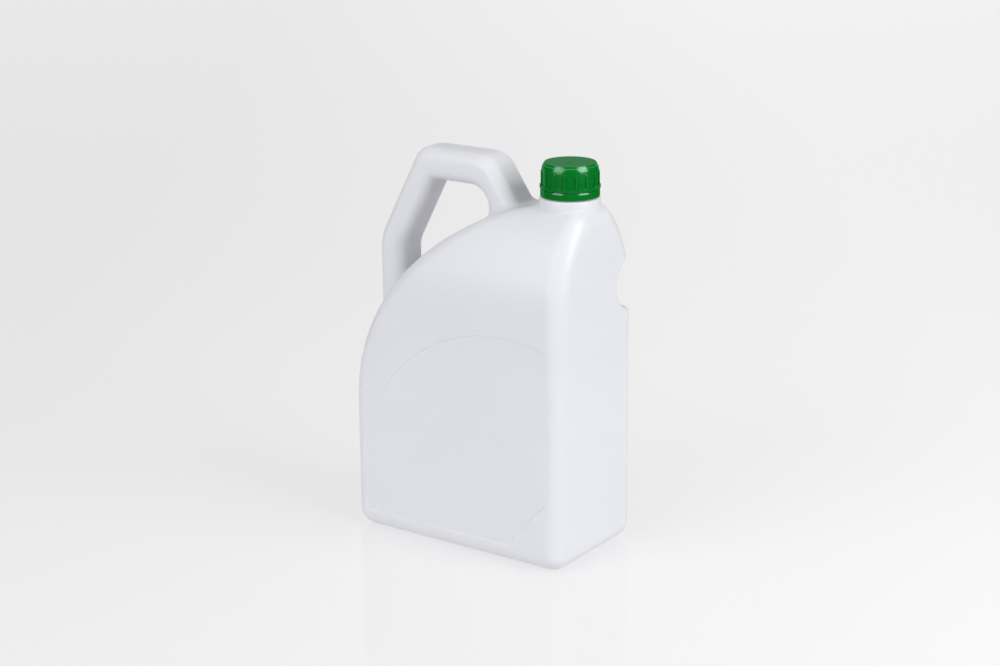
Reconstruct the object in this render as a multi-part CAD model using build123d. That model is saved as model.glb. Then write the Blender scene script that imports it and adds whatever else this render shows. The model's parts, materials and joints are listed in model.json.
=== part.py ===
from build123d import *
import os
from math import acos, cos, degrees, radians, sin

# Five litre jerrycan: a hollow moulded shell with its handle, and a ribbed screw cap with a tamper band.
# Lengths are in millimetres. +X points to the neck end, +Z up, and Z is zero on the floor under the base.

# Body shell
body_length = 205.0
body_width = 110.4
wall = 1.1
crown_height = 288.2
arch_rise = 3.1
arch_side_radius = 105.9
arch_crown_radius = 39.0
edge_radius = 14.5
heel_radius = 14.5
brow_radius = 17.0
# Three tangent arcs lead from back wall to crown: radii as shares of the length, turns in degrees
shoulder_radius_shares = (0.748, 1.163, 0.798)
shoulder_turn_angles = (36, 27, 22)

# Chamfers stand in for the roundings inside the handle, at this share of their radius
inner_chamfer_share = 0.8

# Hollow handle, a loop that grows out of the shoulder
handle_rise = 30.8
handle_width = 35.0
handle_leg = 24.0
handle_bar = 25.8
handle_step = 0.6
handle_blend_radius = 8.0
handle_edge_share = 0.42
handle_top_shares = (-0.293, 0.049)
handle_knee_share = 0.6246
handle_root_shares = ((0.215, 0.89), (0.176, 0.66))
handle_corner_radii = (20.0, 45.0, 15.5, 23.0, 16.0, 20.0)
grip_front_share = 0.033
grip_root_shares = (0.757, 0.331)
grip_corner_radii = (22.0, 7.0, 17.0, 14.0, 14.0)

# Finger groove across the far front corner
groove_radius = 20.5
groove_length = 95.0
groove_height = 216.4
groove_centre_depth = 5.0
groove_blend_radius = 4.0

# Label panels, a shallow step in both broad faces
panel_depth = 0.5
panel_foot_height = 16.7
panel_arc_radius = 138.8
panel_arc_x = 48.0
panel_arc_height = 48.1
panel_corner_x = 53.5
panel_slope_end_x = 98.4
panel_slope_end_height = 65.7
panel_slope_sagitta = 2.0

# Base recess with the pinch-off ridge across it
base_recess_depth = 2.5
base_rim_width = 20.0
base_recess_radius = 18.0
pinch_ridge_width = 1.6
pinch_ridge_height = 1.0

# Neck and its collar
neck_setback = 26.4
neck_radius = 19.0
neck_wall = 1.6
neck_height = 23.6
neck_rim_chamfer = 0.5
collar_radius = 24.0
collar_rise = 4.6
collar_rim_chamfer = 1.3
collar_rim_corner_share = 0.3
collar_foot_radius = 3.0
collar_wall = 1.6
bead_radius = 20.6
bead_height = 1.8

# Screw cap
cap_height = 19.5
cap_radius = 22.2
cap_bore_radius = 20.7
cap_top_thickness = 1.6
cap_disc_radius = 20.1
cap_shoulder_height = 6.4
cap_shoulder_corner_shares = (0.5, 0.82)
cap_flange_height = 1.9
cap_flange_reach = 1.4
rib_count = 16
rib_width = 1.0
rib_reach = 0.9
gate_mark_radius = 1.5
gate_mark_height = 0.4

# Tamper band and its broken bridges
band_gap = 0.8
band_height = 5.6
band_radius = 23.1
band_wall = 2.1
band_lip_height = 1.2
band_lip_clearance = 0.4
bead_clearance = 0.3
bridge_count = 8
bridge_start_angle = 12
bridge_width = 1.2
bridge_depth = 0.8
bridge_height = 0.5

# Sealing liner in the cap
liner_thickness = 1.6
liner_clearance = 0.3

# Cuts and joins run this far past the faces that they meet
overrun = 2.0

# An edge nearer than this to a cut's rim belongs to that rim
rim_tolerance = 0.01

# Places that follow from the sizes
half_length = body_length / 2
half_width = body_width / 2
arch_turn = degrees(acos((arch_side_radius - half_width) / (arch_side_radius - arch_crown_radius)))
crown_centre_height = crown_height + arch_rise - arch_crown_radius
spring_height = crown_centre_height - (arch_side_radius - arch_crown_radius) * sin(radians(arch_turn))
neck_x = half_length - neck_setback
collar_top = crown_height + collar_rise
neck_top = collar_top + neck_height
cap_top = neck_top + liner_thickness + cap_top_thickness
cap_bottom = cap_top - cap_height
band_top = cap_bottom - band_gap
band_bottom = band_top - band_height
bead_bottom = band_bottom + band_lip_height + bead_clearance
handle_top = crown_height + handle_rise


def shoulder_end():
    """Height gained over the three shoulder arcs, and the slope in degrees that they end with."""
    rise, angle = 0, 90
    for share, turn in zip(shoulder_radius_shares, shoulder_turn_angles):
        rise += share * body_length * (cos(radians(angle - turn)) - cos(radians(angle)))
        angle -= turn
    return rise, angle


shoulder_rise, crown_slope = shoulder_end()
back_height = crown_height - shoulder_rise


def side_profile(inset):
    """The shell seen from the side: shoulder arcs, sloping crown, brow, front wall, base and back wall."""
    back, front = inset - half_length, half_length - inset
    brow = brow_radius - inset
    point, heading, outline = Vector(back, back_height), Vector(0, 1), []
    for share, turn in zip(shoulder_radius_shares, shoulder_turn_angles):
        outline.append(JernArc(point, heading, share * body_length - inset, -turn))
        point, heading = outline[-1] @ 1, outline[-1] % 1
    brow_x = front - brow * (1 + heading.Y)
    crown_end = point + heading * ((brow_x - point.X) / heading.X)
    outline.append(Line(point, crown_end))
    outline.append(JernArc(crown_end, heading, brow, -90 - crown_slope))
    corners = [outline[-1] @ 1, (front, inset), (back, inset), (back, back_height)]
    outline.append(FilletPolyline(*corners, radius=heel_radius - inset))
    return Plane.XZ * make_face(outline)


def arch_profile(inset):
    """The shell seen from the end: upright sides under a tall arch of three tangent arcs."""
    half, sides, crown = half_width - inset, arch_side_radius - inset, arch_crown_radius - inset
    left = JernArc((-half, spring_height), (0, 1), sides, -arch_turn)
    top = JernArc(left @ 1, left % 1, crown, 2 * arch_turn - 180)
    right = JernArc(top @ 1, top % 1, sides, -arch_turn)
    foot = Polyline(right @ 1, (half, -overrun), (-half, -overrun), (-half, spring_height))
    return Plane.YZ * make_face([left, top, right, foot])


def container(inset):
    """The closed container where its side and end views cross, rounded all round both broad faces."""
    side = extrude(side_profile(inset), amount=body_width, both=True)
    arch = extrude(arch_profile(inset), amount=body_length, both=True)
    block = side & arch
    rims = block.edges().filter_by(Axis.X).group_by(Axis.Z)[0]
    return fillet(rims, edge_radius - inset)


def rim_edges(before, tool, after):
    """Edges where a tool's skin crosses the skin of the shape that it has joined or cut."""
    rim = Compound(new_edges(before, tool, combined=after))
    return [edge for edge in after.edges() if rim.distance_to(edge @ 0.5) < rim_tolerance]


def inner_corner(before, corner, after, gap_before, gap_after):
    """Where a clockwise outline's corner goes when its two sides move inwards by their gaps."""
    arriving = (corner - before).normalized()
    leaving = (after - corner).normalized()
    turn = arriving.X * leaving.Y - arriving.Y * leaving.X
    return corner + (arriving * gap_after - leaving * gap_before) / turn


def handle_corners():
    """Outer corners of the handle seen from the side, clockwise from its foot at the back."""
    back = handle_step - half_length
    knee = Vector(back, back_height + handle_knee_share * (handle_top - back_height))
    top = [Vector(share * body_length, handle_top) for share in handle_top_shares]
    roots = [Vector(x * body_length, back_height + z * shoulder_rise) for x, z in handle_root_shares]
    return [Vector(back, back_height), knee, *top, *roots]


def grip_corners():
    """Corners of the gap under the handle, clockwise from its knee, with a floor inside the shoulder."""
    foot, knee, top_back, top_front = handle_corners()[:4]
    front_x = grip_front_share * body_length
    floor = [back_height + share * shoulder_rise for share in grip_root_shares]
    grip_knee = inner_corner(foot, knee, top_back, handle_leg, handle_leg)
    grip_back = inner_corner(knee, top_back, top_front, handle_leg, handle_bar)
    front = [Vector(front_x, grip_back.Y), Vector(front_x, floor[0])]
    return [grip_knee, grip_back, *front, Vector(grip_knee.X, floor[1])]


def handle(inset):
    """The handle's loop with rounded edges; its feet reach down inside the container."""
    outer = make_face(FilletPolyline(*handle_corners(), radius=handle_corner_radii, close=True))
    grip = make_face(FilletPolyline(*grip_corners(), radius=grip_corner_radii, close=True))
    loop = outer - grip
    if inset:
        loop = offset(loop, amount=-inset)
    half = handle_width / 2 - inset
    bar = extrude(Plane.XZ * loop, amount=half, both=True)
    sides = bar.edges().group_by(Axis.Y)
    rims = sides[0] + sides[-1]
    rounding = handle_edge_share * handle_leg - inset
    return chamfer(rims, inner_chamfer_share * rounding) if inset else fillet(rims, rounding)


def groove_tool(inset):
    """A round finger groove along the far face, open at the front and with a ball end."""
    length = groove_length - groove_radius
    centre = (half_length - length, half_width - groove_centre_depth, groove_height)
    radius = groove_radius + inset
    bar = extrude(Plane(centre, z_dir=(1, 0, 0)) * Circle(radius), amount=length + overrun)
    return bar + Pos(*centre) * Sphere(radius)


def panel_profile(inset):
    """Outline of the label panel: straight foot, bowed slope at the front, and an arc over the top."""
    foot = panel_foot_height - inset
    reach = half_length + overrun
    radius = panel_arc_radius + inset
    slope_end = (panel_slope_end_x + inset, panel_slope_end_height - inset)
    slope = SagittaArc((panel_corner_x, foot), slope_end, panel_slope_sagitta)
    above = [(reach, panel_slope_end_height), (reach, crown_height), (-reach, crown_height)]
    lower = make_face([Polyline(slope_end, *above, (-reach, foot), (panel_corner_x, foot)), slope])
    return lower & (Pos(panel_arc_x, panel_arc_height) * Circle(radius))


def panel_tool(inset):
    """Cuts both label panels to the same depth below the broad faces."""
    cutter = extrude(Plane.XZ * panel_profile(inset), amount=half_width + overrun, both=True)
    floor = half_width - inset - panel_depth
    return cutter - Box(body_length * 2, floor * 2, crown_height * 2)


def base_recess(inset):
    """The shallow recess under the base, with the ridge left where the mould pinches the tube shut."""
    length = body_length - (base_rim_width - inset) * 2
    width = body_width - (base_rim_width - inset) * 2
    plan = RectangleRounded(length, width, base_recess_radius)
    recess = extrude(plan, amount=base_recess_depth + inset)
    if inset:
        return recess
    ridge = Pos(0, 0, base_recess_depth) * Box(length, pinch_ridge_width, pinch_ridge_height * 2)
    return recess - ridge


def moulded_form(inset):
    """Outer skin of the shell for inset zero, or its inner skin for an inset of one wall."""
    can, loop = container(inset), handle(inset)
    joined = can + loop
    if not inset:
        joined = fillet(rim_edges(can, loop, joined), handle_blend_radius)
    groove = groove_tool(inset)
    grooved = joined - groove
    grooved = fillet(rim_edges(joined, groove, grooved), groove_blend_radius - inset)
    return grooved - panel_tool(inset) - base_recess(inset)


def turned(outline):
    """A solid of revolution on the neck's axis from a half section."""
    return Pos(neck_x, 0, 0) * revolve(Plane.XZ * make_face(outline), Axis.Z)


def neck_outside():
    """Collar, neck wall and the bead that holds the tamper band, from inside the crown up to the rim."""
    root = crown_height - brow_radius
    rim_corner = collar_rim_corner_share * collar_rim_chamfer
    return turned(Polyline(
        (0, root),
        (0, neck_top),
        (neck_radius - neck_rim_chamfer, neck_top),
        (neck_radius, neck_top - neck_rim_chamfer),
        (neck_radius, bead_bottom + bead_height),
        (bead_radius, bead_bottom + bead_height / 2),
        (bead_radius, bead_bottom),
        (neck_radius, bead_bottom),
        (neck_radius, collar_top),
        (collar_radius - collar_rim_chamfer, collar_top),
        (collar_radius - rim_corner, collar_top - rim_corner),
        (collar_radius, collar_top - collar_rim_chamfer),
        (collar_radius, root),
        close=True,
    ))


def neck_inside():
    """Mouth of the neck, widening under the collar and open to the inside of the shell."""
    bore = neck_radius - neck_wall
    hollow = collar_radius - collar_wall
    step = collar_top - collar_wall
    root = crown_height - brow_radius - overrun
    mouth = neck_top + overrun
    cone = [(hollow, step - hollow + bore), (bore, step)]
    return turned(Polyline((0, root), (hollow, root), *cone, (bore, mouth), (0, mouth), close=True))


def jerrycan_body():
    """The whole hollow moulding: container, handle, collar and neck around one inside space."""
    skin, neck = moulded_form(0), neck_outside()
    solid = skin + neck
    solid = fillet(rim_edges(skin, neck, solid), collar_foot_radius)
    return solid - moulded_form(wall) - neck_inside()


def around_neck(shape, count, start_angle):
    """Copies of a shape that is drawn on the +X side of the axis, spaced evenly round the neck."""
    return [Pos(neck_x, 0, 0) * spot * shape for spot in PolarLocations(0, count, start_angle)]


def cap_rib():
    """One grip rib, with its top end sloped into the cap's side."""
    foot = cap_bottom + cap_flange_height / 2
    top = cap_top - cap_shoulder_height
    root, tip = cap_radius - rib_reach, cap_radius + rib_reach
    corners = [(root, foot), (tip, foot), (tip, top - rib_reach), (root, top + rib_reach)]
    face = make_face(Polyline(*corners, close=True))
    return extrude(Plane.XZ * face, amount=rib_width / 2, both=True)


def screw_cap():
    """Ribbed cap: flat disc, shoulder in two slopes, and a straight side over a flange."""
    flange = cap_radius + cap_flange_reach
    flange_top = cap_bottom + cap_flange_height
    shoulder = cap_top - cap_shoulder_height
    inside_top = cap_top - cap_top_thickness
    drop_share, reach_share = cap_shoulder_corner_shares
    corner_radius = cap_disc_radius + reach_share * (cap_radius - cap_disc_radius)
    body = turned(Polyline(
        (0, cap_top),
        (cap_disc_radius, cap_top),
        (corner_radius, cap_top - drop_share * cap_shoulder_height),
        (cap_radius, shoulder),
        (cap_radius, flange_top + cap_flange_reach / 2),
        (flange, flange_top),
        (flange, cap_bottom),
        (cap_bore_radius, cap_bottom),
        (cap_bore_radius, inside_top),
        (0, inside_top),
        close=True,
    ))
    gate_mark = Pos(neck_x, 0, cap_top) * Cylinder(gate_mark_radius, gate_mark_height * 2)
    return body + around_neck(cap_rib(), rib_count, 0) + gate_mark


def tamper_band():
    """Ring that stays on the neck: its lip catches under the neck's bead, and bridge stubs stand on top."""
    inside = band_radius - band_wall
    lip = neck_radius + band_lip_clearance
    lip_top = band_bottom + band_lip_height
    ring = turned(Polyline(
        (lip, band_bottom),
        (band_radius, band_bottom),
        (band_radius, band_top),
        (inside, band_top),
        (inside, lip_top),
        (lip, lip_top),
        close=True,
    ))
    middle = band_radius - band_wall / 2
    stub = Pos(middle, 0, band_top) * Box(bridge_depth, bridge_width, bridge_height * 2)
    return ring + around_neck(stub, bridge_count, bridge_start_angle)


def cap_liner():
    """Foam disc between the cap's top and the neck's rim."""
    disc = extrude(Circle(cap_bore_radius - liner_clearance), amount=liner_thickness)
    return Pos(neck_x, 0, neck_top) * disc


os.makedirs("parts", exist_ok=True)
pieces = {
    "jerrycan_body": jerrycan_body(),
    "screw_cap": screw_cap(),
    "tamper_band": tamper_band(),
    "cap_liner": cap_liner(),
}
for name, piece in pieces.items():
    export_step(piece, "parts/" + name + ".step")
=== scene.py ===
import json
import math

import bpy
from bpy.props import FloatProperty, FloatVectorProperty, IntProperty, PointerProperty
from mathutils import Matrix, Vector


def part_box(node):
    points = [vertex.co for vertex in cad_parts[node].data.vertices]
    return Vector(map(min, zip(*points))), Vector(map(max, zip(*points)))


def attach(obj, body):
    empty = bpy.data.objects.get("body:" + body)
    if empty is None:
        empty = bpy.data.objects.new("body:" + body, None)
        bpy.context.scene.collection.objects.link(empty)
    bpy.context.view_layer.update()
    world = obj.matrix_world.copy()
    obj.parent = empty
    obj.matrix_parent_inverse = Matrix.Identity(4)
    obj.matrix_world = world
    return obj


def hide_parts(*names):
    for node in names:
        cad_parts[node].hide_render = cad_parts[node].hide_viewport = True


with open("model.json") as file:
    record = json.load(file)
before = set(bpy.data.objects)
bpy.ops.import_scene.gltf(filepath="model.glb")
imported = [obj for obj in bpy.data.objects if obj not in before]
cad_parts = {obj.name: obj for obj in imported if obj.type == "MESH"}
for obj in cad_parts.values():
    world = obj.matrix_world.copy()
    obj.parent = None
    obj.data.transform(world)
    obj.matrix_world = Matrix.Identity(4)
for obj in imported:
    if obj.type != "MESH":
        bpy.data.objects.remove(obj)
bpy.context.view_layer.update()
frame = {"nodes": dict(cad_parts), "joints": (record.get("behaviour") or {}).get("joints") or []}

bl_info = {
    "name": "Plastic jerrycan",
    "version": (1, 0, 0),
    "blender": (4, 5, 0),
    "location": "View3D > Sidebar > Jerrycan",
    "description": "Dresses the packed jerrycan with natural polyethylene, a green screw cap and a studio",
    "category": "Object",
}

# The cap's joints in the frame: it turns about the neck's axis and rises by the thread's lead in each turn
JOINTS = {joint["name"]: joint for joint in frame["joints"]}
NECK_AXIS = Vector((*JOINTS["cap_turn"]["pos_m"][:2], 0))
CAP_TURNS = JOINTS["cap_turn"]["range_deg"][1] / 360
CAP_RISE = JOINTS["cap_lift"]["range_m"][1]
CAP_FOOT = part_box("screw_cap")[0].z

# Ridges of the thread: steps in a turn, and how deep in metres a ridge sits in the wall that carries it
THREAD_STEPS = 96
THREAD_SEAT = 0.0002

# Top ring of the tamper band in metres, below the stubs of its bridges
BRIDGE_HEIGHT = 0.0005
BAND_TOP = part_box("tamper_band")[1].z - BRIDGE_HEIGHT
BAND_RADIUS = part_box("tamper_band")[1].y

# Broad faces of the container in metres, and the middle that the label panels' rims spread from
HALF_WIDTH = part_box("jerrycan_body")[1].y
PANEL_CENTRE = (0, 0, 0.1)

# How near in metres a vertex lies to the place it is looked for, and how near two vertices are one
MATCH = 0.00005
CAD_MERGE = 0.000002
RIDGE_MERGE = 0.000001

# Angles between faces: a step in the skin is sharper than the first, a smooth curve flatter than the others
STEP_ANGLE = math.radians(60)
MOULDED_ANGLE = math.radians(28)
BAND_ANGLE = math.radians(12)

# Names of the moulded materials, which the thread ridges share
POLYETHYLENE = "natural_hdpe_blow_moulded"
POLYPROPYLENE = "green_pp_injection_moulded"

# Widths of the patterns in millimetres. The tint of a blown wall drifts over several centimetres with its
# thickness, and that of a dyed cap over a centimetre or two. The grain of a polished mould is under 0.1 mm,
# too fine to show, so it is drawn as wide as about one pixel of the render. A foam cell is drawn at its size.
WALL_DRIFT = 71.4
DYE_DRIFT = 16.7
WALL_GRAIN = 1.11
CAP_GRAIN = 0.714
FOAM_CELL = 0.833

# Table in metres: it widens from its front edge with the camera's view, and a wall stands far behind it
TABLE_SIZE = 6.0
TABLE_FRONT = 0.55
TABLE_NEAR_SHARE = 0.12
TABLE_FAR_SHARE = 0.61
WALL_SIZE = 6.0
WALL_DISTANCE = 3.7

# Glow of the table: from where to where it changes, in metres from its middle, and its strength there
GLOW_IN_DEPTH = {"From_Min": -3.0, "From_Max": 0.8, "To_Min": 0.86, "To_Max": 1.22}
GLOW_IN_WIDTH = {"From_Min": -0.5, "From_Max": 0.5, "To_Min": 0.9, "To_Max": 1.08}

# Softboxes in metres: how far out and up they stand, where they face, their sizes, and the degrees that
# each stands round to one side of the camera
SOFTBOX_DISTANCE = 1.35
SOFTBOX_HEIGHT = 0.82
SOFTBOX_AIM = (0, 0, 0.1)
RIGHT_SIZE = (0.9, 1.0)
RIGHT_TURN = 54
LEFT_SIZE = (1.05, 1.1)
LEFT_TURN = -50


def srgb(text):
    """Linear colour with full alpha from an sRGB hex text such as 'f0f0f0'."""
    parts = [int(text[i:i + 2], 16) / 255 for i in (0, 2, 4)]
    linear = [c / 12.92 if c <= 0.04045 else ((c + 0.055) / 1.055) ** 2.4 for c in parts]
    return (*linear, 1.0)


# Sizes and colours that a user may change

def colour(name, description, text):
    """A colour setting, with its default as sRGB hex text."""
    return FloatVectorProperty(name=name, description=description, size=4, subtype="COLOR",
                               min=0.0, max=1.0, default=srgb(text))


def length(name, description, metres):
    """A length setting, with its default in metres."""
    return FloatProperty(name=name, description=description, unit="LENGTH", precision=5, default=metres)


def angle(name, description, degrees):
    """An angle setting, with its default in degrees."""
    return FloatProperty(name=name, description=description, subtype="ANGLE", default=math.radians(degrees))


def power(name, description, watts):
    """A lamp's power setting, with its default in watts."""
    return FloatProperty(name=name, description=description, unit="POWER", min=0.0, default=watts)


class ColourSettings(bpy.types.PropertyGroup):
    """Colours of the container, the cap, the band and the liner."""
    wall_dark: colour("Wall", "Darker tint of the natural plastic", "eef0f6")
    wall_light: colour("Wall, lighter", "Lighter tint of the natural plastic", "f2f4fa")
    # Painted highlight: a lighter tint laid along the wall's outward edges
    wall_edge_highlight: colour("Wall edge", "Tint where a thin edge scatters more light", "fafcff")
    wall_through: colour("Through the wall", "Tint of the light that comes through the wall", "faf6f2")
    cap_dark: colour("Cap", "Darker tint of the dyed plastic", "006a1e")
    cap_light: colour("Cap, lighter", "Lighter tint of the dyed plastic", "007022")
    # Painted highlight: a lighter green laid along the edges of the ribs and the flange
    cap_edge_highlight: colour("Cap edge", "Tint of the edges of the ribs and the flange", "35a858")
    cap_gloss: colour("Cap gloss", "Tint of what the cap mirrors", "dafff4")
    foam_dark: colour("Liner", "Darker tint of the foam", "e4e4e0")
    foam_light: colour("Liner, lighter", "Lighter tint of the foam", "f0f0ee")


class SizeSettings(bpy.types.PropertyGroup):
    """Sizes of the panels' slope, the band's taper and the thread's ridges, on the neck and in the cap."""
    panel_spread: FloatProperty(name="Panel spread", description="Growth of the label panels' rims",
                                subtype="FACTOR", min=1.0, default=1.01)
    band_taper: length("Band taper", "How far the band's top slopes in", 0.0004)
    band_taper_height: length("Band taper height", "How far down the band's taper starts", 0.0012)
    lead: length("Lead", "Rise of the thread in one turn", CAP_RISE / CAP_TURNS)
    turns: IntProperty(name="Turns", description="Turns of each ridge", min=1, default=2)
    foot: length("Foot", "Height of a ridge where it meets the wall", 0.002)
    crest: length("Crest", "Height of a ridge at its crest", 0.0008)
    neck_radius: length("Neck", "Outer radius of the neck", 0.019)
    neck_reach: length("Neck ridge", "How far the neck's ridge stands out", 0.0013)
    neck_start: length("Neck start", "Start of the neck's ridge above the cap's lower edge", 0.0043)
    cap_radius: length("Cap", "Inner radius of the cap", 0.0207)
    cap_reach: length("Cap ridge", "How far the cap's ridge stands in", 0.0012)
    cap_start: length("Cap start", "Start of the cap's ridge above the cap's lower edge", 0.00245)


class StudioSettings(bpy.types.PropertyGroup):
    """Camera and lamps."""
    camera_place: FloatVectorProperty(name="Camera", description="Place of the camera", size=3, unit="LENGTH",
                                      default=(0.93494, -1.30615, 0.6525))
    camera_turn: angle("Turn", "Direction the camera looks in, seen from above", 35.342)
    camera_pitch: angle("Pitch", "How far the camera looks down", 16.731)
    camera_roll: angle("Roll", "Roll of the camera", -0.497)
    lens: FloatProperty(name="Lens", description="Focal length in millimetres on a 36 mm sensor",
                        min=10.0, max=300.0, default=74.74)
    key_power: power("Key", "Power of the right softbox", 15.2)
    fill_power: power("Fill", "Power of the left softbox", 11.6)
    room_light: FloatProperty(name="Room", description="Strength of the light from all round",
                              min=0.0, default=0.5)


SETTINGS = {
    "jerrycan_colours": ColourSettings,
    "jerrycan_sizes": SizeSettings,
    "jerrycan_studio": StudioSettings,
}


# Materials

def per_metre(millimetres):
    """Scale of a pattern on Object coordinates whose marks are that many millimetres wide."""
    return 1000 / millimetres


def add_node(tree, kind, settings=None, links=None, **values):
    """Adds one node: settings are its own fields, links its inputs fed by outputs, values its other inputs.

    A value is named as its input, with _ for each space.
    """
    node = tree.nodes.new(kind)
    for name, value in (settings or {}).items():
        setattr(node, name, value)
    for name, value in values.items():
        node.inputs[name.replace("_", " ")].default_value = value
    for name, output in (links or {}).items():
        tree.links.new(output, node.inputs[name])
    return node


def new_material(name):
    """An empty node material with its output, ready for a shader."""
    material = bpy.data.materials.new(name)
    material.use_nodes = True
    material.node_tree.nodes.clear()
    return material, material.node_tree, material.node_tree.nodes.new("ShaderNodeOutputMaterial")


def drifting_tint(tree, place, dark, light, width, detail):
    """A tint that drifts between two colours over that many millimetres."""
    cloud = add_node(tree, "ShaderNodeTexNoise", links={"Vector": place},
                     Scale=per_metre(width), Detail=detail, Roughness=0.5)
    tint = add_node(tree, "ShaderNodeMix", {"data_type": "RGBA"}, {"Factor": cloud.outputs["Fac"]},
                    A=dark, B=light)
    return tint.outputs["Result"]


def painted_edge_highlight(tree, tint, highlight_colour, reach, full, none):
    """The tint, turned towards a painted highlight colour along outward edges, where the lamps' glints on a
    rounding would show.

    Rays are cast inwards as far as reach. The painted highlight shows in full where the share of them that
    stays in the plastic is below full, and not at all where it is above none.
    """
    inward = add_node(tree, "ShaderNodeAmbientOcclusion",
                      {"samples": 4, "inside": True, "only_local": True}, Distance=reach)
    away_from_edge = add_node(tree, "ShaderNodeMapRange", links={"Value": inward.outputs["AO"]},
                     From_Min=full, From_Max=none)
    mix = add_node(tree, "ShaderNodeMix", {"data_type": "RGBA"},
                   {"Factor": away_from_edge.outputs["Result"], "B": tint}, A=highlight_colour)
    return mix.outputs["Result"]


def moulded_skin(tree, place, grain, smoothest, roughest, edge_radius, relief):
    """Roughness and normals of a moulded skin: a fine satin grain, and edges rounded a little."""
    satin = add_node(tree, "ShaderNodeTexNoise", links={"Vector": place},
                     Scale=per_metre(grain), Detail=2.0, Roughness=0.6)
    rough = add_node(tree, "ShaderNodeMapRange", links={"Value": satin.outputs["Fac"]},
                     To_Min=smoothest, To_Max=roughest)
    rounding = add_node(tree, "ShaderNodeBevel", {"samples": 4}, Radius=edge_radius)
    skin = add_node(tree, "ShaderNodeBump",
                    links={"Height": satin.outputs["Fac"], "Normal": rounding.outputs["Normal"]},
                    Strength=relief, Distance=0.0001)
    return rough.outputs["Result"], skin.outputs["Normal"]


def natural_polyethylene(colours):
    """Undyed high-density polyethylene, blow moulded: milky, lets a little light through, soft satin skin."""
    material, tree, out = new_material(POLYETHYLENE)
    place = add_node(tree, "ShaderNodeTexCoord").outputs["Object"]
    tint = drifting_tint(tree, place, colours.wall_dark, colours.wall_light, WALL_DRIFT, detail=3.0)
    rough, skin = moulded_skin(tree, place, WALL_GRAIN, smoothest=0.26, roughest=0.32,
                               edge_radius=0.0003, relief=0.05)
    # Painted highlight: the outward edges turn towards a lighter tint, where the lamps' glints on the
    # roundings would show
    wall_tint_and_highlight = painted_edge_highlight(tree, tint, colours.wall_edge_highlight, reach=0.0009, full=0.8, none=0.97)
    shader = add_node(tree, "ShaderNodeBsdfPrincipled",
                      links={"Base Color": wall_tint_and_highlight, "Roughness": rough, "Normal": skin},
                      IOR=1.54, Specular_IOR_Level=0.38)
    through = add_node(tree, "ShaderNodeBsdfTranslucent", links={"Normal": skin}, Color=colours.wall_through)
    wall = add_node(tree, "ShaderNodeMixShader", links={1: shader.outputs[0], 2: through.outputs[0]}, Fac=0.3)
    tree.links.new(wall.outputs[0], out.inputs["Surface"])
    return material


def green_polypropylene(colours):
    """Dyed polypropylene, injection moulded: even deep green under a thin satin gloss."""
    material, tree, out = new_material(POLYPROPYLENE)
    place = add_node(tree, "ShaderNodeTexCoord").outputs["Object"]
    tint = drifting_tint(tree, place, colours.cap_dark, colours.cap_light, DYE_DRIFT, detail=2.0)
    rough, skin = moulded_skin(tree, place, CAP_GRAIN, smoothest=0.15, roughest=0.2,
                               edge_radius=0.00025, relief=0.08)
    # Painted highlight: the edges of the ribs and the flange turn towards a lighter green, where the lamps
    # glint
    cap_tint_and_highlight = painted_edge_highlight(tree, tint, colours.cap_edge_highlight, reach=0.0006, full=0.42, none=0.75)
    dyed = add_node(tree, "ShaderNodeBsdfPrincipled", links={"Base Color": cap_tint_and_highlight, "Normal": skin},
                    Roughness=0.8, IOR=1.49, Specular_IOR_Level=0.0)
    gloss = add_node(tree, "ShaderNodeBsdfGlossy", links={"Roughness": rough, "Normal": skin},
                     Color=colours.cap_gloss)
    coat = add_node(tree, "ShaderNodeMixShader", links={1: dyed.outputs[0], 2: gloss.outputs[0]}, Fac=0.08)
    tree.links.new(coat.outputs[0], out.inputs["Surface"])
    return material


def white_foam(colours):
    """Foamed polyethylene sheet, die cut: matt white with fine cells."""
    material, tree, out = new_material("white_pe_foam_die_cut")
    place = add_node(tree, "ShaderNodeTexCoord").outputs["Object"]
    cells = add_node(tree, "ShaderNodeTexVoronoi", links={"Vector": place}, Scale=per_metre(FOAM_CELL))
    tint = add_node(tree, "ShaderNodeMix", {"data_type": "RGBA"}, {"Factor": cells.outputs["Distance"]},
                    A=colours.foam_dark, B=colours.foam_light)
    skin = add_node(tree, "ShaderNodeBump", links={"Height": cells.outputs["Distance"]},
                    Strength=0.3, Distance=0.0002)
    shader = add_node(tree, "ShaderNodeBsdfPrincipled",
                      links={"Base Color": tint.outputs["Result"], "Normal": skin.outputs["Normal"]},
                      Roughness=0.7, IOR=1.5)
    tree.links.new(shader.outputs[0], out.inputs["Surface"])
    return material


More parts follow.
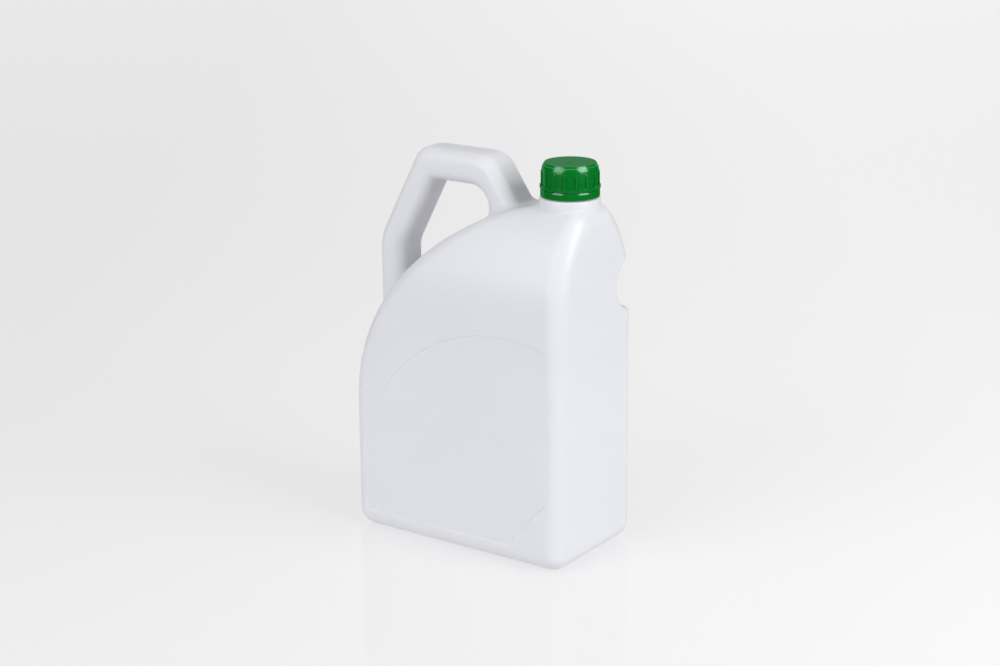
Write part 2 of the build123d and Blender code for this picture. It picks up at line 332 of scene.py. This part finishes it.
def acrylic_sheet():
    """White acrylic, cast and polished: evenly pale to the camera, a soft shadow and a faint mirror image."""
    material, tree, out = new_material("white_acrylic_sheet")
    place = add_node(tree, "ShaderNodeTexCoord").outputs["Object"]
    axes = add_node(tree, "ShaderNodeSeparateXYZ", links={0: place})
    depth = add_node(tree, "ShaderNodeMapRange", links={"Value": axes.outputs["Y"]}, **GLOW_IN_DEPTH)
    width = add_node(tree, "ShaderNodeMapRange", links={"Value": axes.outputs["X"]}, **GLOW_IN_WIDTH)
    level = add_node(tree, "ShaderNodeMath", {"operation": "MULTIPLY"},
                     {0: depth.outputs["Result"], 1: width.outputs["Result"]})
    glow = add_node(tree, "ShaderNodeEmission", links={"Strength": level.outputs[0]}, Color=srgb("fefeff"))
    matt = add_node(tree, "ShaderNodeBsdfDiffuse", Color=srgb("f8f8f8"))
    rays = add_node(tree, "ShaderNodeLightPath")
    # The glow's share of the sheet is smaller to the camera than to the light that reaches the object
    share = add_node(tree, "ShaderNodeMapRange", links={"Value": rays.outputs["Is Camera Ray"]},
                     To_Min=0.85, To_Max=0.68)
    lit = add_node(tree, "ShaderNodeMixShader",
                   links={0: share.outputs["Result"], 1: matt.outputs[0], 2: glow.outputs[0]})
    polish = add_node(tree, "ShaderNodeBsdfGlossy", Roughness=0.04)
    edge = add_node(tree, "ShaderNodeFresnel", IOR=1.5)
    sheet = add_node(tree, "ShaderNodeMixShader",
                     links={0: edge.outputs[0], 1: lit.outputs[0], 2: polish.outputs[0]})
    tree.links.new(sheet.outputs[0], out.inputs["Surface"])
    return material


def lit_wall():
    """White wall far behind the table: bright to the eye and in the table's polish, dim as a light."""
    material, tree, out = new_material("white_wall")
    rays = add_node(tree, "ShaderNodeLightPath")
    seen = add_node(tree, "ShaderNodeMath", {"operation": "MAXIMUM"},
                    {0: rays.outputs["Is Camera Ray"], 1: rays.outputs["Is Glossy Ray"]})
    dim = add_node(tree, "ShaderNodeEmission", Color=srgb("ffffff"), Strength=0.2)
    bright = add_node(tree, "ShaderNodeEmission", Color=srgb("ffffff"), Strength=0.95)
    mix = add_node(tree, "ShaderNodeMixShader",
                   links={0: seen.outputs[0], 1: dim.outputs[0], 2: bright.outputs[0]})
    tree.links.new(mix.outputs[0], out.inputs["Surface"])
    return material


def paint(piece, material):
    """Gives a piece one material."""
    piece.data.materials.clear()
    piece.data.materials.append(material)


# Shapes

def take_up(piece):
    """Selects one piece alone and makes it the active one."""
    bpy.ops.object.select_all(action="DESELECT")
    piece.select_set(True)
    bpy.context.view_layer.objects.active = piece


def smooth_copy(node, name):
    """A merged, smooth-shaded copy of a CAD node, to stand for it."""
    source = frame["nodes"][node]
    piece = bpy.data.objects.new(name, source.data.copy())
    bpy.context.scene.collection.objects.link(piece)
    take_up(piece)
    if piece.data.has_custom_normals:
        bpy.ops.mesh.customdata_custom_splitnormals_clear()
    bpy.ops.object.mode_set(mode="EDIT")
    bpy.ops.mesh.select_all(action="SELECT")
    bpy.ops.mesh.remove_doubles(threshold=CAD_MERGE)
    bpy.ops.object.mode_set(mode="OBJECT")
    bpy.ops.object.shade_smooth_by_angle(angle=MOULDED_ANGLE)
    return piece


def slope_panel(piece, spread):
    """Moves the rim of both label panels outwards, so that the step round them is a slope as in the mould."""
    take_up(piece)
    bpy.ops.object.mode_set(mode="EDIT")
    bpy.ops.mesh.select_mode(type="EDGE")
    bpy.ops.mesh.select_all(action="DESELECT")
    bpy.ops.mesh.edges_select_sharp(sharpness=STEP_ANGLE)
    bpy.ops.object.mode_set(mode="OBJECT")
    mesh = piece.data
    on_face = [abs(abs(vertex.co.y) - HALF_WIDTH) < MATCH for vertex in mesh.vertices]
    steps = [edge.vertices for edge in mesh.edges if edge.select]
    rim = {end for ends in steps if all(on_face[i] for i in ends) for end in ends}
    if not rim:
        raise ValueError("the label panels' outline was not found")
    # The faces and edges of every step are still selected, and would take their corners along
    for item in (*mesh.polygons, *mesh.edges):
        item.select = False
    for vertex in mesh.vertices:
        vertex.select = vertex.index in rim
    bpy.ops.object.mode_set(mode="EDIT")
    bpy.ops.mesh.select_mode(type="VERT")
    bpy.ops.transform.resize(value=(spread, 1, spread), center_override=PANEL_CENTRE)
    bpy.ops.object.mode_set(mode="OBJECT")
    bpy.ops.object.shade_smooth_by_angle(angle=MOULDED_ANGLE)


def taper_band(piece, taper, height):
    """Slopes the band's outer top inwards, so that it catches the light under the cap's flange."""
    take_up(piece)
    bpy.ops.object.mode_set(mode="EDIT")
    bpy.ops.mesh.select_all(action="SELECT")
    bpy.ops.mesh.bisect(plane_co=(0, 0, BAND_TOP - height), plane_no=(0, 0, 1))
    bpy.ops.mesh.select_mode(type="VERT")
    bpy.ops.mesh.select_all(action="DESELECT")
    bpy.ops.object.mode_set(mode="OBJECT")
    for vertex in piece.data.vertices:
        reach = (vertex.co - NECK_AXIS).to_2d().length
        vertex.select = abs(vertex.co.z - BAND_TOP) < MATCH and abs(reach - BAND_RADIUS) < MATCH
    if not any(vertex.select for vertex in piece.data.vertices):
        raise ValueError("the band's top ring was not found")
    bpy.ops.object.mode_set(mode="EDIT")
    share = 1 - taper / BAND_RADIUS
    bpy.ops.transform.resize(value=(share, share, 1), center_override=NECK_AXIS)
    bpy.ops.object.mode_set(mode="OBJECT")
    bpy.ops.object.shade_smooth_by_angle(angle=BAND_ANGLE)


def thread_ridge(name, sizes, radius, reach, start):
    """A helical ridge round the neck's axis, cut off flat at both ends.

    Reach is how far it stands out from a wall of that radius, and is negative inside the cap.
    """
    bpy.ops.object.select_all(action="DESELECT")
    bpy.ops.mesh.primitive_plane_add(size=1, rotation=(math.pi / 2, 0, 0))
    ridge = bpy.context.object
    ridge.name = name
    bpy.ops.object.transform_apply(location=False, rotation=True, scale=False)
    # The upright plane's corners become the ridge's profile, whose outline is then wound up
    seat = math.copysign(THREAD_SEAT, reach)
    for corner in ridge.data.vertices:
        at_crest = corner.co.x * reach > 0
        height = sizes.crest if at_crest else sizes.foot
        corner.co.x = radius + reach if at_crest else radius - seat
        corner.co.z = CAP_FOOT + start + math.copysign(height / 2, corner.co.z)
    bpy.ops.object.mode_set(mode="EDIT")
    bpy.ops.mesh.select_all(action="SELECT")
    bpy.ops.mesh.delete(type="ONLY_FACE")
    bpy.ops.object.mode_set(mode="OBJECT")
    screw = ridge.modifiers.new("turns", "SCREW")
    screw.axis = "Z"
    screw.screw_offset = sizes.lead
    screw.iterations = sizes.turns
    screw.steps = THREAD_STEPS
    screw.render_steps = THREAD_STEPS
    screw.use_smooth_shade = False
    bpy.ops.object.modifier_apply(modifier=screw.name)
    bpy.ops.object.mode_set(mode="EDIT")
    bpy.ops.mesh.select_all(action="SELECT")
    bpy.ops.mesh.remove_doubles(threshold=RIDGE_MERGE)
    # The two open ends are closed
    bpy.ops.mesh.select_all(action="DESELECT")
    bpy.ops.mesh.select_non_manifold()
    bpy.ops.mesh.fill_holes(sides=4)
    bpy.ops.mesh.select_all(action="SELECT")
    bpy.ops.mesh.normals_make_consistent(inside=False)
    bpy.ops.object.mode_set(mode="OBJECT")
    ridge.data.transform(Matrix.Translation(NECK_AXIS))
    bpy.ops.object.shade_smooth_by_angle(angle=MOULDED_ANGLE)
    return ridge


# Studio

def camera_axes(settings):
    """Right, up and backward directions of the camera."""
    turn, pitch, roll = settings.camera_turn, settings.camera_pitch, settings.camera_roll
    right = Vector((math.cos(turn), math.sin(turn), 0))
    forward = Vector((-math.sin(turn) * math.cos(pitch), math.cos(turn) * math.cos(pitch), -math.sin(pitch)))
    up = right.cross(forward)
    rolled_right = right * math.cos(roll) + up * math.sin(roll)
    rolled_up = up * math.cos(roll) - right * math.sin(roll)
    return rolled_right, rolled_up, -forward


def add_camera(settings):
    """Camera at the photograph's viewing angle."""
    camera = bpy.data.objects.new("camera", bpy.data.cameras.new("camera"))
    bpy.context.scene.collection.objects.link(camera)
    camera.data.lens = settings.lens
    camera.data.clip_end = 50
    axes = Matrix(camera_axes(settings)).transposed().to_4x4()
    camera.matrix_world = Matrix.Translation(Vector(settings.camera_place)) @ axes
    bpy.context.scene.camera = camera


def add_plane(name, size, turn, ahead, height, tilt):
    """A square sheet, turned as the camera is, that far ahead of the object and above the ground."""
    bpy.ops.object.select_all(action="DESELECT")
    bpy.ops.mesh.primitive_plane_add(size=size, rotation=(tilt, 0, turn),
                                     location=(-ahead * math.sin(turn), ahead * math.cos(turn), height))
    plane = bpy.context.object
    plane.name = name
    return plane


def add_table(settings):
    """Large pale table that runs out of sight, and the wall behind it."""
    turn = settings.camera_turn
    table = add_plane("table", TABLE_SIZE, turn, TABLE_SIZE / 2 - TABLE_FRONT, height=0, tilt=0)
    for corner in table.data.vertices:
        corner.co.x *= TABLE_FAR_SHARE if corner.co.y > 0 else TABLE_NEAR_SHARE
    paint(table, acrylic_sheet())
    wall = add_plane("wall", WALL_SIZE, turn, WALL_DISTANCE, height=WALL_SIZE / 2, tilt=math.pi / 2)
    paint(wall, lit_wall())


def add_softbox(name, place, size, watts):
    """A softbox that faces the object."""
    lamp = bpy.data.objects.new(name, bpy.data.lights.new(name, "AREA"))
    bpy.context.scene.collection.objects.link(lamp)
    lamp.data.shape = "RECTANGLE"
    lamp.data.size, lamp.data.size_y = size
    lamp.data.energy = watts
    lamp.location = place
    lamp.rotation_euler = (Vector(SOFTBOX_AIM) - Vector(place)).to_track_quat("-Z", "Y").to_euler()


def add_lamps(settings):
    """Two softboxes beside the camera."""
    for name, turn, size, watts in (("right_softbox", RIGHT_TURN, RIGHT_SIZE, settings.key_power),
                                    ("left_softbox", LEFT_TURN, LEFT_SIZE, settings.fill_power)):
        heading = settings.camera_turn - math.pi / 2 + math.radians(turn)
        place = (SOFTBOX_DISTANCE * math.cos(heading), SOFTBOX_DISTANCE * math.sin(heading), SOFTBOX_HEIGHT)
        add_softbox(name, place, size, watts)


def add_room(settings):
    """Dim room all round: pale to the camera, nearly black in mirror images."""
    world = bpy.data.worlds.new("dim_room")
    world.use_nodes = True
    bpy.context.scene.world = world
    tree = world.node_tree
    tree.nodes.clear()
    out = tree.nodes.new("ShaderNodeOutputWorld")
    rays = add_node(tree, "ShaderNodeLightPath")
    room = add_node(tree, "ShaderNodeBackground", Color=srgb("ffffff"), Strength=settings.room_light)
    mirrored = add_node(tree, "ShaderNodeBackground", Color=srgb("ffffff"), Strength=0.02)
    seen = add_node(tree, "ShaderNodeBackground", Color=srgb("f1f1f2"), Strength=1.0)
    lighting = add_node(tree, "ShaderNodeMixShader",
                        links={0: rays.outputs["Is Glossy Ray"], 1: room.outputs[0], 2: mirrored.outputs[0]})
    mix = add_node(tree, "ShaderNodeMixShader",
                   links={0: rays.outputs["Is Camera Ray"], 1: lighting.outputs[0], 2: seen.outputs[0]})
    tree.links.new(mix.outputs[0], out.inputs["Surface"])


# Operators

class JERRYCAN_OT_body(bpy.types.Operator):
    """Dresses the blow-moulded container"""
    bl_idname = "jerrycan.body"
    bl_label = "Container"

    def execute(self, context):
        piece = smooth_copy("jerrycan_body", "container_shell")
        slope_panel(piece, context.scene.jerrycan_sizes.panel_spread)
        paint(piece, natural_polyethylene(context.scene.jerrycan_colours))
        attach(piece, "can")
        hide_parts("jerrycan_body")
        return {"FINISHED"}


class JERRYCAN_OT_closure(bpy.types.Operator):
    """Dresses the screw cap, the tamper band and the liner"""
    bl_idname = "jerrycan.closure"
    bl_label = "Screw cap"

    def execute(self, context):
        colours = context.scene.jerrycan_colours
        sizes = context.scene.jerrycan_sizes
        green = green_polypropylene(colours)
        for node, body, slot in (("screw_cap", "cap", "green_cap_plastic"),
                                 ("tamper_band", "can", "green_band_plastic")):
            piece = smooth_copy(node, node + "_moulded")
            if node == "tamper_band":
                taper_band(piece, sizes.band_taper, sizes.band_taper_height)
            paint(piece, green)
            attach(piece, body)
            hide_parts(node)
        paint(frame["nodes"]["cap_liner"], white_foam(colours))
        return {"FINISHED"}


class JERRYCAN_OT_threads(bpy.types.Operator):
    """Adds the screw thread: a ridge outside the neck and one inside the cap"""
    bl_idname = "jerrycan.threads"
    bl_label = "Screw thread"

    def execute(self, context):
        sizes = context.scene.jerrycan_sizes
        outside = thread_ridge("neck_thread_ridge", sizes,
                               sizes.neck_radius, sizes.neck_reach, sizes.neck_start)
        paint(outside, bpy.data.materials[POLYETHYLENE])
        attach(outside, "can")
        inside = thread_ridge("cap_thread_ridge", sizes,
                              sizes.cap_radius, -sizes.cap_reach, sizes.cap_start)
        paint(inside, bpy.data.materials[POLYPROPYLENE])
        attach(inside, "cap")
        return {"FINISHED"}


class JERRYCAN_OT_studio(bpy.types.Operator):
    """Adds the camera, the table, the wall, the lamps and the room"""
    bl_idname = "jerrycan.studio"
    bl_label = "Studio"

    def execute(self, context):
        settings = context.scene.jerrycan_studio
        add_camera(settings)
        add_table(settings)
        add_lamps(settings)
        add_room(settings)
        context.scene.view_settings.view_transform = "Standard"
        return {"FINISHED"}


class JERRYCAN_PT_sidebar(bpy.types.Panel):
    """Lists the pieces, the studio and their settings in the 3D view's sidebar"""
    bl_idname = "JERRYCAN_PT_sidebar"
    bl_label = "Jerrycan"
    bl_space_type = "VIEW_3D"
    bl_region_type = "UI"
    bl_category = "Jerrycan"

    def draw(self, context):
        for operator in OPERATORS:
            self.layout.operator(operator.bl_idname)
        for group, settings in SETTINGS.items():
            for name in settings.__annotations__:
                self.layout.prop(getattr(context.scene, group), name)


OPERATORS = (JERRYCAN_OT_body, JERRYCAN_OT_closure, JERRYCAN_OT_threads, JERRYCAN_OT_studio)
CLASSES = (*SETTINGS.values(), *OPERATORS, JERRYCAN_PT_sidebar)


def register():
    for item in CLASSES:
        bpy.utils.register_class(item)
    for group, settings in SETTINGS.items():
        setattr(bpy.types.Scene, group, PointerProperty(type=settings))


def unregister():
    for group in SETTINGS:
        delattr(bpy.types.Scene, group)
    for item in reversed(CLASSES):
        bpy.utils.unregister_class(item)


def main():
    """Registers the add-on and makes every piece."""
    register()
    bpy.ops.jerrycan.body()
    bpy.ops.jerrycan.closure()
    bpy.ops.jerrycan.threads()
    bpy.ops.jerrycan.studio()


if __name__ == "__main__":
    main()
